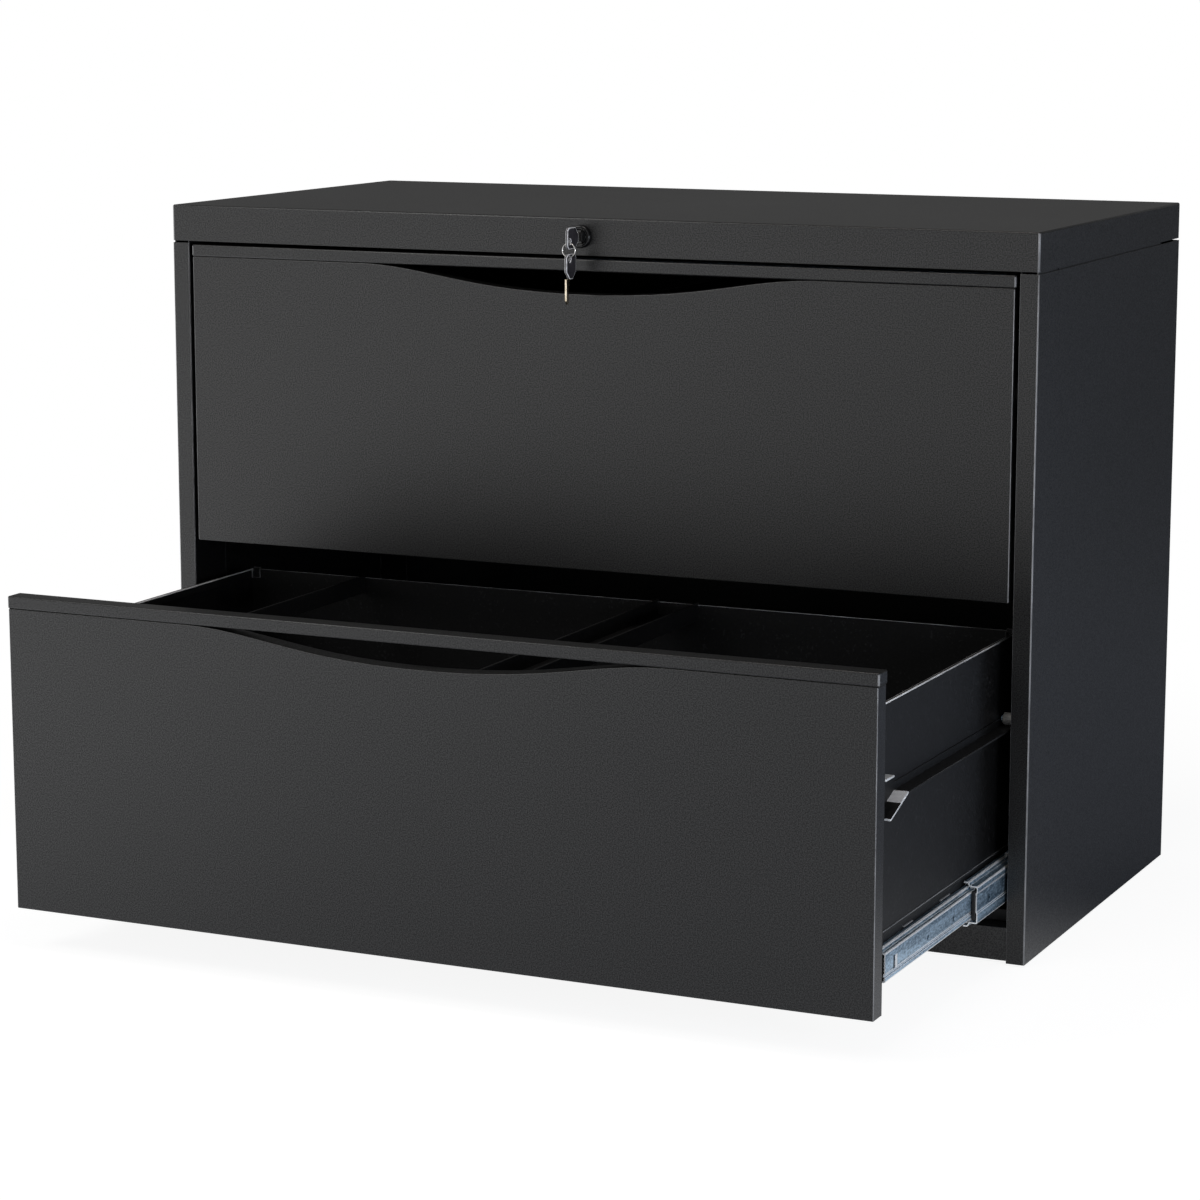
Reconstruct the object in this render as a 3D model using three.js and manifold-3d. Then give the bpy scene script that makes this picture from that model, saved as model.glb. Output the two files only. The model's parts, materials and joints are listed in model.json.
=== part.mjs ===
// Two-drawer lateral filing cabinet with its lower drawer standing open.
// Millimetres, +Z up, floor at z = 0, front towards -Y, X across the cabinet.
import * as THREE from 'three';
import { mergeVertices } from 'three/addons/utils/BufferGeometryUtils.js';
import Module from 'manifold-3d';

const wasm = await Module();
wasm.setup();

// Case
const cabinetWidth = 914;
const cabinetDepth = 460;
const cabinetHeight = 686;
const caseSheet = 1.2;
const coverHeight = 36;
const coverGap = 2;          // shadow line between the cover and the sides
const seatLap = 10;          // seat strip below and above that line
const postWidth = 18;        // front return of each side panel
const sideReveal = 2;        // sides above the floor
const uprightDepth = 60;
const railDepth = 20;        // flanges of the front rail
const railDrop = 32.8;       // front rail below the cover's underside

// Base
const kickLift = 4;          // kick panel above the floor
const kickHeight = 32;
const baseRailDepth = 50;
const panLip = 12;           // upturned front edge of the bottom pan
const panSetback = 22;
const glideRadius = 12;
const glideStemRadius = 4;
const glideStemLength = 9;
const glideInset = 38;       // glide centre in from the rail's end
const glideSetback = 36.5;   // glide centre behind the rail's face

// Drawers
const openShown = 340;       // how far the lower drawer stands open
const frontGap = 3.5;        // above, between and below the drawer fronts
const frontSideGap = 4;
const frontDepth = 19;
const frontSheet = 1.2;
const stripHeight = 12;
const stripOverhang = 1;     // pull strip past the panel at each end
const stripEnd = 2;
const scoopWidth = 490;
const scoopDepth = 22;
const scoopShoulder = 75;    // level run-in of the scoop's curve
const scoopBelly = 130;      // level run of the curve at its lowest point
const wallRise = 17.5;       // walls above the front's lower edge
const wallDrop = 37.25;      // walls below the front's upper edge
const drawerSheet = 1;
const hemWidth = 4;
const hemHeight = 8;
const backClearance = 40;    // case depth less drawer depth

// File bars
const folderSpan = 330;      // between the edges that a hanging folder rests on
const centreRailWidth = 43;
const barSheet = 2.5;
const barHeight = 16;
const barTab = 1.4;          // thickness of the tabs over the drawer's walls
const barTabReach = 3;

// Ball slides
const slideThickness = 19;
const slideSetback = 37;     // front end behind the drawer's face when shut
const slideBackClearance = 20;
const slideRise = 37;        // slide centre above the front's lower edge
const slideSheet = 1.2;
const outerHeight = 45.4;
const middleHeight = 35.4;
const innerHeight = 26.4;
const raceWidth = 5;
const innerReach = 10.5;     // web of the inner member, from the drawer's wall
const middleTip = 1.5;
const middleBack = 15.7;
const outerTip = 3;
const middleShare = 0.33;    // middle member's share of the drawer's travel

// Interlock
const ledgeDrop = 80;        // ledge below the top of the drawer's wall
const ledgeReach = 14.7;
const ledgeSheet = 2;
const camSetback = 34;       // front end of the cam rail behind the face
const camBackGap = 12;
const rampLength = 43;
const rampDrop = 15;
const lipLength = 20;
const lipReach = 10;
const lipSheet = 2;
const camWebSheet = 1.2;
const camWebRise = 7;        // web above the ledge behind the lip
const rollerRadius = 6;
const rollerSetback = 27;    // roller centre behind the case's front plane
const axleRadius = 2.5;
const axleHeadRadius = 3.4;
const axleHeadLength = 1.6;
const liftRange = 4;
const interlockSheet = 3;
const interlockWidth = 18;
const interlockTail = 40;    // bar below the lower roller

// Lock and keys
const bezelRadius = 11;
const bezelProud = 5.5;
const barrelRadius = 9.5;
const barrelLength = 20;     // behind the cover's front lip
const plugRadius = 6.5;
const plugRecess = 0.5;
const nutRadius = 14;        // across the hexagon's corners
const nutLength = 5;
const plugTail = 0.6;        // plug past the barrel's rear end
const camSheet = 2.5;
const camDiscRadius = 8;
const crankRadius = 10;
const crankPinRadius = 2;
const crankEyeRadius = 4.5;
const crankPlay = 0.5;
const linkSheet = 2;
const linkHeight = 16;
const linkDrop = 8.5;        // link centre below the lock's axis
const linkShort = 7;         // link's end short of the right upright
const linkTail = 8;          // link past its slot at the lock end
const bladeHeight = 8;
const bladeThickness = 2;
const bladeDepth = 17;       // blade behind the case's front plane
const headStandoff = 9;      // key head in front of the case's front plane
const headLength = 24;
const headHeight = 20.5;
const headThickness = 3;
const headFrontCut = 3;      // corners cut at the ring end
const headRearCut = 7;       // corners cut at the blade end
const eyeInset = 5;          // hole centre in from the head's end
const eyeDrop = 3;           // hole centre below the lock's axis
const eyeRadius = 2.5;
const ringRadius = 6.7;
const ringWire = 0.65;

// Fits
const fitGap = 0.3;
const slotPlay = 0.6;

// Derived places
const caseFront = (openShown - cabinetDepth) / 2;
const caseBack = caseFront + cabinetDepth;
const halfWidth = cabinetWidth / 2;
const sideInner = halfWidth - caseSheet;
const innerHalf = halfWidth - postWidth;
const coverBottom = cabinetHeight - coverHeight;
const coverUnderside = cabinetHeight - caseSheet;
const backInner = caseBack - 2 * caseSheet;
const kickTop = kickLift + kickHeight;
const baseHalf = innerHalf - fitGap;
const frontWeb = caseFront + caseSheet + fitGap;
const frontFlange = frontWeb + uprightDepth - caseSheet;
const rearFace = backInner - fitGap;
const rearWeb = rearFace - uprightDepth;

const frontHeight = (coverBottom - kickTop - 3 * frontGap) / 2;
const frontPitch = frontHeight + frontGap;
const lowerZ = kickTop + frontGap;
const upperZ = lowerZ + frontPitch;
const stripHalf = innerHalf - frontSideGap;
const panelHalf = stripHalf - stripOverhang;
const panelTop = frontHeight - stripHeight;
const wallTop = frontHeight - wallDrop;
const wallOuter = innerHalf - slideThickness;
const boxFront = frontDepth + drawerSheet;
const drawerDepth = cabinetDepth - backClearance;
const slideLength = cabinetDepth - slideSetback - slideBackClearance;

const ledgeTop = wallTop - ledgeDrop;
const rampBottom = ledgeTop - rampDrop;
const lipBottom = ledgeTop + 2 * rollerRadius + liftRange + 3 * fitGap;
const rollerY = caseFront + rollerSetback;
const rollerRise = ledgeTop + fitGap + rollerRadius;
const interlockInner = innerHalf + caseSheet + fitGap;

const lockZ = cabinetHeight - coverHeight / 2;
const barrelEnd = caseFront + caseSheet + barrelLength;
const plugEnd = barrelEnd + plugTail;
const linkFront = plugEnd + camSheet + fitGap;
const crankThrow = crankRadius * Math.SQRT1_2;
const eyeY = caseFront - headStandoff - headLength + eyeInset;
const ringTop = lockZ - eyeDrop - eyeRadius + ringWire + fitGap;
const ringZ = ringTop - ringRadius;

const sides = [['left', -1], ['right', 1]];

// Finishes
function finish(color, roughness, metalness) {
  return new THREE.MeshStandardMaterial({ color, roughness, metalness });
}

const powderCoat = () => finish(0x3a3a3b, 0.55, 0.1);
const innerCoat = () => finish(0x1c1c1e, 0.6, 0.1);
const zincPlate = () => finish(0xaeb6bd, 0.35, 0.9);
const blackGloss = () => finish(0x101012, 0.2, 0.2);
const nickel = () => finish(0xc9c6bd, 0.25, 1);
const nylon = () => finish(0xb9b9b5, 0.5, 0);
const blackPlastic = () => finish(0x151516, 0.4, 0);

// Geometry helpers
const axisX = new THREE.Vector3(1, 0, 0);
const axisY = new THREE.Vector3(0, 1, 0);
const axisZ = new THREE.Vector3(0, 0, 1);
const acrossBasis = new THREE.Matrix4().makeBasis(axisY, axisZ, axisX);
const backBasis = new THREE.Matrix4().makeBasis(axisX, axisZ, axisY.clone().negate());

function box(x0, x1, y0, y1, z0, z1) {
  const geometry = new THREE.BoxGeometry(x1 - x0, y1 - y0, z1 - z0);
  return geometry.translate((x0 + x1) / 2, (y0 + y1) / 2, (z0 + z1) / 2);
}

function mirrorBox(side, x0, x1, y0, y1, z0, z1) {
  return box(Math.min(side * x0, side * x1), Math.max(side * x0, side * x1), y0, y1, z0, z1);
}

function outline(points) {
  return new THREE.Shape(points.map(([u, v]) => new THREE.Vector2(u, v)));
}

function extrude(shape, depth) {
  return new THREE.ExtrudeGeometry(shape, { depth, bevelEnabled: false, curveSegments: 24 });
}

// An outline in X and Y, raised from z0 to z1
function raise(shape, z0, z1) {
  return extrude(shape, z1 - z0).translate(0, 0, z0);
}

// An outline in X and Z, run back from y0 to y1
function runBack(shape, y0, y1) {
  return extrude(shape, y1 - y0).applyMatrix4(backBasis).translate(0, y1, 0);
}

// An outline in Y and Z, run across from x0 to x1
function runAcross(shape, x0, x1) {
  return extrude(shape, x1 - x0).applyMatrix4(acrossBasis).translate(x0, 0, 0);
}

function rodAlongX(radius, x0, x1, y, z) {
  const rod = new THREE.CylinderGeometry(radius, radius, x1 - x0, 24);
  return rod.rotateZ(Math.PI / 2).translate((x0 + x1) / 2, y, z);
}

function rodAlongY(radius, y0, y1, x, z) {
  return new THREE.CylinderGeometry(radius, radius, y1 - y0, 32).translate(x, (y0 + y1) / 2, z);
}

function rodAlongZ(radius, z0, z1, x, y) {
  const rod = new THREE.CylinderGeometry(radius, radius, z1 - z0, 24);
  return rod.applyMatrix4(backBasis).translate(x, y, (z0 + z1) / 2);
}

function toSolid(geometry) {
  const bare = geometry.clone();
  bare.deleteAttribute('normal');
  bare.deleteAttribute('uv');
  const merged = mergeVertices(bare);
  const vertProperties = new Float32Array(merged.attributes.position.array);
  const triVerts = new Uint32Array(merged.index.array);
  return new wasm.Manifold(new wasm.Mesh({ numProp: 3, vertProperties, triVerts }));
}

function toGeometry(solid) {
  const mesh = solid.getMesh();
  const geometry = new THREE.BufferGeometry();
  geometry.setAttribute('position', new THREE.BufferAttribute(new Float32Array(mesh.vertProperties), 3));
  geometry.setIndex(new THREE.BufferAttribute(new Uint32Array(mesh.triVerts), 1));
  geometry.computeVertexNormals();
  return geometry;
}

function cut(base, ...tools) {
  return toGeometry(tools.reduce((solid, tool) => solid.subtract(toSolid(tool)), toSolid(base)));
}

function join(...pieces) {
  return toGeometry(pieces.map(toSolid).reduce((whole, piece) => whole.add(piece)));
}

function addPart(group, name, geometry, material) {
  const mesh = new THREE.Mesh(geometry, material);
  mesh.name = name;
  group.add(mesh);
}

// Case panels, uprights and base

// A strip inside the side panel that rises behind the cover's lip
function coverSeat(side, y0, y1) {
  const low = coverBottom - coverGap - seatLap;
  const inner = sideInner - fitGap - caseSheet;
  const foot = mirrorBox(side, inner, sideInner + caseSheet / 2, y0, y1, low, low + seatLap);
  const strip = mirrorBox(side, inner, inner + caseSheet, y0, y1, low, coverBottom + seatLap);
  return join(foot, strip);
}

function sidePanel(side) {
  const plan = outline([
    [side * halfWidth, caseFront],
    [side * halfWidth, caseBack],
    [side * sideInner, caseBack],
    [side * sideInner, caseBack - caseSheet],
    [side * innerHalf, caseBack - caseSheet],
    [side * innerHalf, backInner],
    [side * sideInner, backInner],
    [side * sideInner, caseFront + caseSheet],
    [side * innerHalf, caseFront + caseSheet],
    [side * innerHalf, caseFront],
  ]);
  return join(
    raise(plan, sideReveal, coverBottom - coverGap),
    coverSeat(side, caseFront + caseSheet, frontFlange - fitGap),
    coverSeat(side, frontFlange + caseSheet + fitGap, rearWeb - fitGap),
  );
}

// An angle whose web carries the slides; its flange meets the side panel
function upright(side, webStart, flangeStart) {
  const webEnd = webStart + uprightDepth;
  const flangeEnd = flangeStart + caseSheet;
  const web = mirrorBox(side, innerHalf, innerHalf + caseSheet, webStart, webEnd, kickLift, coverUnderside);
  const flange = mirrorBox(side, innerHalf, sideInner, flangeStart, flangeEnd, kickLift, coverUnderside);
  return join(web, flange);
}

function axleSlot(z) {
  const halfSlot = axleRadius + slotPlay;
  const low = z - rampDrop - halfSlot;
  const high = z + liftRange + halfSlot;
  return box(innerHalf - 1, innerHalf + caseSheet + 1, rollerY - halfSlot, rollerY + halfSlot, low, high);
}

function linkWindow() {
  const centre = lockZ - linkDrop;
  const half = linkHeight / 2 + slotPlay;
  const front = linkFront - slotPlay;
  const back = linkFront + linkSheet + slotPlay;
  return box(innerHalf - 1, innerHalf + caseSheet + 1, front, back, centre - half, centre + half);
}

function topCover() {
  const shell = box(-halfWidth, halfWidth, caseFront, caseBack, coverBottom, cabinetHeight);
  const hollow = box(-sideInner, sideInner, caseFront + caseSheet, caseBack - caseSheet,
    coverBottom - 1, coverUnderside);
  const lockHole = rodAlongY(barrelRadius + fitGap, caseFront - 1, caseFront + caseSheet + 1, 0, lockZ);
  return cut(shell, hollow, lockHole);
}

function frontRail() {
  const y = linkFront + linkSheet + fitGap;
  const low = coverUnderside - railDrop;
  const section = outline([
    [y, low],
    [y + railDepth, low],
    [y + railDepth, low + caseSheet],
    [y + caseSheet, low + caseSheet],
    [y + caseSheet, coverUnderside - caseSheet],
    [y + railDepth, coverUnderside - caseSheet],
    [y + railDepth, coverUnderside],
    [y, coverUnderside],
  ]);
  return runAcross(section, -baseHalf, baseHalf);
}

const glideX = baseHalf - glideInset;

// A channel on edge: its outer face is at y, its flanges run inward
function baseRail(y, inward) {
  const reach = y + inward * baseRailDepth;
  const section = outline([
    [y, kickLift],
    [reach, kickLift],
    [reach, kickLift + caseSheet],
    [y + inward * caseSheet, kickLift + caseSheet],
    [y + inward * caseSheet, kickTop - caseSheet],
    [reach, kickTop - caseSheet],
    [reach, kickTop],
    [y, kickTop],
  ]);
  const middle = y + inward * glideSetback;
  const holeTop = kickLift + 2 * caseSheet;
  const hole = (side) => rodAlongZ(glideStemRadius + fitGap, 0, holeTop, side * glideX, middle);
  return cut(runAcross(section, -baseHalf, baseHalf), hole(-1), hole(1));
}

function glide(side, y) {
  const pad = rodAlongZ(glideRadius, 0, kickLift, side * glideX, y);
  const stem = rodAlongZ(glideStemRadius, kickLift / 2, kickLift + glideStemLength, side * glideX, y);
  return join(pad, stem);
}

function bottomPan() {
  const front = caseFront + panSetback;
  const section = outline([
    [front, kickTop],
    [backInner - fitGap, kickTop],
    [backInner - fitGap, kickTop + caseSheet],
    [front + caseSheet, kickTop + caseSheet],
    [front + caseSheet, kickTop + panLip],
    [front, kickTop + panLip],
  ]);
  return runAcross(section, -baseHalf, baseHalf);
}

// Ball slides: a channel with its back at x = back, its flange tips at x = tip
function slideSection(side, back, tip, height, raceHalf) {
  const half = height / 2;
  const inward = Math.sign(tip - back);
  const web = back + inward * slideSheet;
  const race = tip - inward * raceWidth;
  const upper = [
    [back, half],
    [race, half],
    [race, raceHalf],
    [tip, raceHalf],
    [tip, half - slideSheet],
    [web, half - slideSheet],
  ];
  const lower = upper.map(([x, z]) => [x, -z]).reverse();
  return outline([...upper, ...lower].map(([x, z]) => [side * x, z]));
}

const slideInner = (side) => slideSection(side, wallOuter + innerReach, wallOuter, innerHeight,
  middleHeight / 2 - slideSheet - fitGap);
const slideMiddle = (side) => slideSection(side, wallOuter + middleBack, wallOuter + middleTip, middleHeight,
  outerHeight / 2 - slideSheet - fitGap);

function slideOuter(side) {
  const half = outerHeight / 2;
  const web = innerHalf - slideSheet;
  const tip = wallOuter + outerTip;
  const points = [
    [innerHalf, -half],
    [innerHalf, half],
    [tip, half],
    [tip, half - slideSheet],
    [web, half - slideSheet],
    [web, slideSheet - half],
    [tip, slideSheet - half],
    [tip, -half],
  ];
  return outline(points.map(([x, z]) => [side * x, z]));
}

// Drawer pieces, with y = 0 at the face and z = 0 at the front's lower edge
function frontOutline(inset) {
  const half = panelHalf - inset;
  const top = panelTop - inset;
  const scoop = scoopWidth / 2;
  const shape = new THREE.Shape();
  shape.moveTo(-half, inset);
  shape.lineTo(half, inset);
  shape.lineTo(half, top);
  shape.lineTo(scoop, top);
  shape.bezierCurveTo(scoop - scoopShoulder, top, scoopBelly, top - scoopDepth, 0, top - scoopDepth);
  shape.bezierCurveTo(-scoopBelly, top - scoopDepth, scoopShoulder - scoop, top, -scoop, top);
  shape.lineTo(-half, top);
  return shape;
}

function frontPanel() {
  const pocket = runBack(frontOutline(frontSheet), frontSheet, frontDepth + 1);
  return cut(runBack(frontOutline(0), 0, frontDepth), pocket);
}

function pullStrip() {
  const bar = box(-stripHalf, stripHalf, 0, frontDepth, panelTop, frontHeight);
  const hollow = box(stripEnd - stripHalf, stripHalf - stripEnd, frontSheet, frontDepth + 1,
    panelTop + frontSheet, frontHeight - frontSheet);
  return cut(bar, hollow);
}

function sideWall(side) {
  const section = [
    [wallOuter, wallRise],
    [wallOuter, wallTop],
    [wallOuter - hemWidth, wallTop],
    [wallOuter - hemWidth, wallTop - hemHeight],
    [wallOuter - drawerSheet, wallTop - hemHeight],
    [wallOuter - drawerSheet, wallRise],
  ];
  return runBack(outline(section.map(([x, z]) => [side * x, z])), boxFront, drawerDepth - drawerSheet);
}

// Ledge with a ramp at its front end, a web against the wall and a lip over the ramp
function camRail() {
  const rampStart = camSetback;
  const rampEnd = camSetback + rampLength;
  const back = drawerDepth - camBackGap;
  const lipEnd = camSetback + lipLength;
  const lipTop = lipBottom + lipSheet;
  const ledge = outline([
    [rampStart, rampBottom - ledgeSheet],
    [rampEnd, ledgeTop - ledgeSheet],
    [back, ledgeTop - ledgeSheet],
    [back, ledgeTop],
    [rampEnd, ledgeTop],
    [rampStart, rampBottom],
  ]);
  const lip = outline([
    [rampStart, lipBottom],
    [lipEnd, lipBottom],
    [lipEnd, lipTop],
    [rampStart, lipTop],
  ]);
  const web = outline([
    [rampStart, rampBottom - ledgeSheet],
    [rampEnd, ledgeTop - ledgeSheet],
    [back, ledgeTop - ledgeSheet],
    [back, ledgeTop + camWebRise],
    [rampEnd, ledgeTop + camWebRise],
    [lipEnd, lipTop],
    [rampStart, lipTop],
  ]);
  return join(
    runAcross(web, wallOuter, wallOuter + camWebSheet),
    runAcross(ledge, wallOuter, wallOuter + ledgeReach),
    runAcross(lip, wallOuter, wallOuter + lipReach),
  );
}

// A bar from front to back, with a tab at each end that rests on the drawer's wall
function barOutline() {
  const front = boxFront + fitGap;
  const back = drawerDepth - drawerSheet - fitGap;
  const tabLow = wallTop + fitGap;
  const tabHigh = tabLow + barTab;
  return outline([
    [front, wallTop - barHeight],
    [back, wallTop - barHeight],
    [back, tabLow],
    [back + barTabReach, tabLow],
    [back + barTabReach, tabHigh],
    [front - barTabReach, tabHigh],
    [front - barTabReach, tabLow],
    [front, tabLow],
  ]);
}

const rightHang = wallOuter - hemWidth / 2;
const railRight = rightHang - folderSpan;
const railLeft = railRight - centreRailWidth;
const leftHang = railLeft - folderSpan;

function centreRail() {
  const floorLow = wallTop - barHeight;
  const floor = box(railLeft - barSheet / 2, railRight + barSheet / 2, boxFront + fitGap,
    drawerDepth - drawerSheet - fitGap, floorLow, floorLow + barSheet);
  const flange = (x) => runAcross(barOutline(), x - barSheet / 2, x + barSheet / 2);
  return join(floor, flange(railLeft), flange(railRight));
}

function drawer(name, z, open) {
  const group = new THREE.Group();
  group.position.set(0, caseFront - open, z);
  const boxBack = drawerDepth - drawerSheet;
  const floorHalf = wallOuter - drawerSheet;
  const liner = box(-panelHalf, panelHalf, frontDepth, boxFront, 0, wallTop);
  const backWall = box(-wallOuter, wallOuter, boxBack, drawerDepth, wallRise, wallTop);
  const floor = box(-floorHalf, floorHalf, boxFront, boxBack, wallRise, wallRise + drawerSheet);
  const leftBar = runAcross(barOutline(), leftHang - barSheet / 2, leftHang + barSheet / 2);
  addPart(group, `${name}_front_panel`, frontPanel(), powderCoat());
  addPart(group, `${name}_pull_strip`, pullStrip(), powderCoat());
  addPart(group, `${name}_front_liner`, liner, innerCoat());
  addPart(group, `${name}_back_wall`, backWall, innerCoat());
  addPart(group, `${name}_drawer_bottom`, floor, innerCoat());
  addPart(group, `${name}_cam_rail`, camRail(), innerCoat());
  addPart(group, `${name}_left_file_bar`, leftBar, innerCoat());
  addPart(group, `${name}_centre_file_rail`, centreRail(), innerCoat());
  for (const [hand, side] of sides) {
    const member = runBack(slideInner(side), slideSetback, slideSetback + slideLength);
    addPart(group, `${name}_${hand}_wall`, sideWall(side), innerCoat());
    addPart(group, `${name}_${hand}_slide_inner`, member.translate(0, 0, slideRise), zincPlate());
  }
  return group;
}

// Slide members that stay in the case or follow at a share of the travel
function caseSlides(name, z, open) {
  const group = new THREE.Group();
  group.position.set(0, caseFront + slideSetback, z + slideRise);
  for (const [hand, side] of sides) {
    const middle = runBack(slideMiddle(side), 0, slideLength).translate(0, -middleShare * open, 0);
    addPart(group, `${name}_${hand}_slide_outer`, runBack(slideOuter(side), 0, slideLength), zincPlate());
    addPart(group, `${name}_${hand}_slide_middle`, middle, zincPlate());
  }
  return group;
}

// Interlock bar with its axles, and the rollers that ride the cam rails
const axleTip = wallOuter + camWebSheet + fitGap;
const rollerInner = axleTip + axleHeadLength + fitGap;
const rollerOuter = innerHalf - fitGap;
const rollerHeights = [lowerZ + rollerRise, upperZ + rollerRise];

function interlockBar() {
  const outer = interlockInner + interlockSheet;
  const half = interlockWidth / 2;
  const low = rollerHeights[0] - interlockTail;
  const high = lockZ - linkDrop - linkHeight / 2 - liftRange - slotPlay;
  const bar = box(interlockInner, outer, rollerY - half, rollerY + half, low, high);
  const axles = rollerHeights.flatMap((z) => [
    rodAlongX(axleRadius, axleTip + axleHeadLength / 2, outer - interlockSheet / 2, rollerY, z),
    rodAlongX(axleHeadRadius, axleTip, axleTip + axleHeadLength, rollerY, z),
  ]);
  return join(bar, ...axles);
}

function roller(z) {
  const rim = rodAlongX(rollerRadius, rollerInner, rollerOuter, rollerY, z);
  return cut(rim, rodAlongX(axleRadius + fitGap, rollerInner - 1, rollerOuter + 1, rollerY, z));
}

// Lock: barrel in the cover's lip, plug with its keyway, crank cam and link
function lockBody() {
  const bore = plugRadius + fitGap;
  const profile = [
    [bore, caseFront - bezelProud],
    [bezelRadius, caseFront - bezelProud],
    [bezelRadius, caseFront],
    [barrelRadius, caseFront],
    [barrelRadius, barrelEnd],
    [bore, barrelEnd],
    [bore, caseFront - bezelProud],
  ];
  const points = profile.map(([r, y]) => new THREE.Vector2(r, y));
  return new THREE.LatheGeometry(points, 40).translate(0, 0, lockZ);
}

function lockNut() {
  const corners = [0, 1, 2, 3, 4, 5].map((corner) => corner * Math.PI / 3);
  const hexagon = outline(corners.map((angle) => [nutRadius * Math.cos(angle), nutRadius * Math.sin(angle)]));
  const bore = new THREE.Path();
  bore.absarc(0, 0, barrelRadius + fitGap, 0, 2 * Math.PI, true);
  hexagon.holes.push(bore);
  const lipBack = caseFront + caseSheet;
  return runBack(hexagon, lipBack, lipBack + nutLength).translate(0, 0, lockZ);
}

function lockPlug() {
  const halfSlotX = bladeThickness / 2 + fitGap;
  const halfSlotZ = bladeHeight / 2 + fitGap;
  const face = new THREE.Shape();
  face.absarc(0, 0, plugRadius, 0, 2 * Math.PI, false);
  face.holes.push(outline([
    [-halfSlotX, -halfSlotZ],
    [halfSlotX, -halfSlotZ],
    [halfSlotX, halfSlotZ],
    [-halfSlotX, halfSlotZ],
  ]));
  return runBack(face, caseFront - bezelProud + plugRecess, plugEnd).translate(0, 0, lockZ);
}

function lockCam() {
  const pinX = -crankThrow;
  const pinZ = lockZ - crankThrow;
  const back = plugEnd + camSheet;
  return join(
    rodAlongY(camDiscRadius, plugEnd, back, 0, lockZ),
    rodAlongY(crankEyeRadius, plugEnd, back, pinX, pinZ),
    rodAlongY(crankPinRadius, plugEnd, linkFront + linkSheet, pinX, pinZ),
  );
}

function lockLink() {
  const centre = lockZ - linkDrop;
  const slotHalf = crankPinRadius + crankPlay;
  const left = -crankThrow - slotHalf - linkTail;
  const bar = box(left, innerHalf - linkShort, linkFront, linkFront + linkSheet,
    centre - linkHeight / 2, centre + linkHeight / 2);
  const slotLow = lockZ - crankRadius - slotHalf;
  const slotHigh = lockZ - crankThrow + slotHalf;
  const slot = box(-crankThrow - slotHalf, slotHalf - crankThrow, linkFront - 1, linkFront + linkSheet + 1,
    slotLow, slotHigh);
  return cut(bar, slot);
}

// A key head with its ring end at v = 0 and its blade end towards +v
function headShape() {
  const half = headHeight / 2;
  const right = [
    [half - headFrontCut, 0],
    [half, headFrontCut],
    [half, headLength - headRearCut],
    [half - headRearCut, headLength],
  ];
  const left = right.map(([u, v]) => [-u, v]).reverse();
  const shape = outline([...right, ...left]);
  const eye = new THREE.Path();
  eye.absarc(eyeDrop, eyeInset, eyeRadius, 0, 2 * Math.PI, true);
  shape.holes.push(eye);
  return shape;
}

// The head stands on edge across X, with its length along +Y
function keyHead() {
  const turn = new THREE.Matrix4().makeBasis(axisZ.clone().negate(), axisY, axisX);
  const head = extrude(headShape(), headThickness).translate(0, 0, -headThickness / 2);
  return head.applyMatrix4(turn).translate(0, eyeY - eyeInset, lockZ);
}

function keyBlade() {
  const half = bladeThickness / 2;
  const low = lockZ - bladeHeight / 2;
  return box(-half, half, caseFront - headStandoff, caseFront + bladeDepth, low, low + bladeHeight);
}

function keyRing() {
  return new THREE.TorusGeometry(ringRadius, ringWire, 10, 40).rotateX(Math.PI / 2).translate(0, eyeY, ringZ);
}

function lockSet() {
  const group = new THREE.Group();
  addPart(group, 'lock_body', lockBody(), blackGloss());
  addPart(group, 'lock_nut', lockNut(), zincPlate());
  addPart(group, 'lock_plug', lockPlug(), nickel());
  addPart(group, 'lock_cam', lockCam(), zincPlate());
  addPart(group, 'lock_link', lockLink(), zincPlate());
  addPart(group, 'key_head', keyHead(), blackPlastic());
  addPart(group, 'key_blade', keyBlade(), nickel());
  addPart(group, 'key_ring', keyRing(), nickel());
  return group;
}

function caseGroup() {
  const group = new THREE.Group();
  const frontGlideY = frontWeb + glideSetback;
  const rearGlideY = rearFace - glideSetback;
  const panelEdge = sideInner - fitGap;
  const panelHigh = coverBottom - coverGap;
  const backPanel = box(-panelEdge, panelEdge, caseBack - caseSheet, caseBack, sideReveal, panelHigh);
  const cuts = [...rollerHeights.map(axleSlot), linkWindow()];
  addPart(group, 'top_cover', topCover(), powderCoat());
  addPart(group, 'back_panel', backPanel, powderCoat());
  addPart(group, 'kick_panel', baseRail(frontWeb, 1), powderCoat());
  addPart(group, 'rear_base_rail', baseRail(rearFace, -1), powderCoat());
  addPart(group, 'bottom_pan', bottomPan(), innerCoat());
  addPart(group, 'front_rail', frontRail(), innerCoat());
  addPart(group, 'left_front_upright', upright(-1, frontWeb, frontFlange), innerCoat());
  addPart(group, 'right_front_upright', cut(upright(1, frontWeb, frontFlange), ...cuts), innerCoat());
  for (const [hand, side] of sides) {
    addPart(group, `${hand}_side_panel`, sidePanel(side), powderCoat());
    addPart(group, `${hand}_rear_upright`, upright(side, rearWeb, rearWeb), innerCoat());
    addPart(group, `${hand}_front_glide`, glide(side, frontGlideY), blackPlastic());
    addPart(group, `${hand}_rear_glide`, glide(side, rearGlideY), blackPlastic());
  }
  return group;
}

function interlock() {
  const group = new THREE.Group();
  addPart(group, 'interlock_bar', interlockBar(), zincPlate());
  addPart(group, 'lower_interlock_roller', roller(rollerHeights[0]), nylon());
  addPart(group, 'upper_interlock_roller', roller(rollerHeights[1]), nylon());
  return group;
}

const cabinet = new THREE.Group();
cabinet.add(
  caseGroup(),
  caseSlides('lower', lowerZ, openShown),
  caseSlides('upper', upperZ, 0),
  drawer('lower', lowerZ, openShown),
  drawer('upper', upperZ, 0),
  interlock(),
  lockSet(),
);

export default cabinet;
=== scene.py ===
import json
import math

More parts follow.
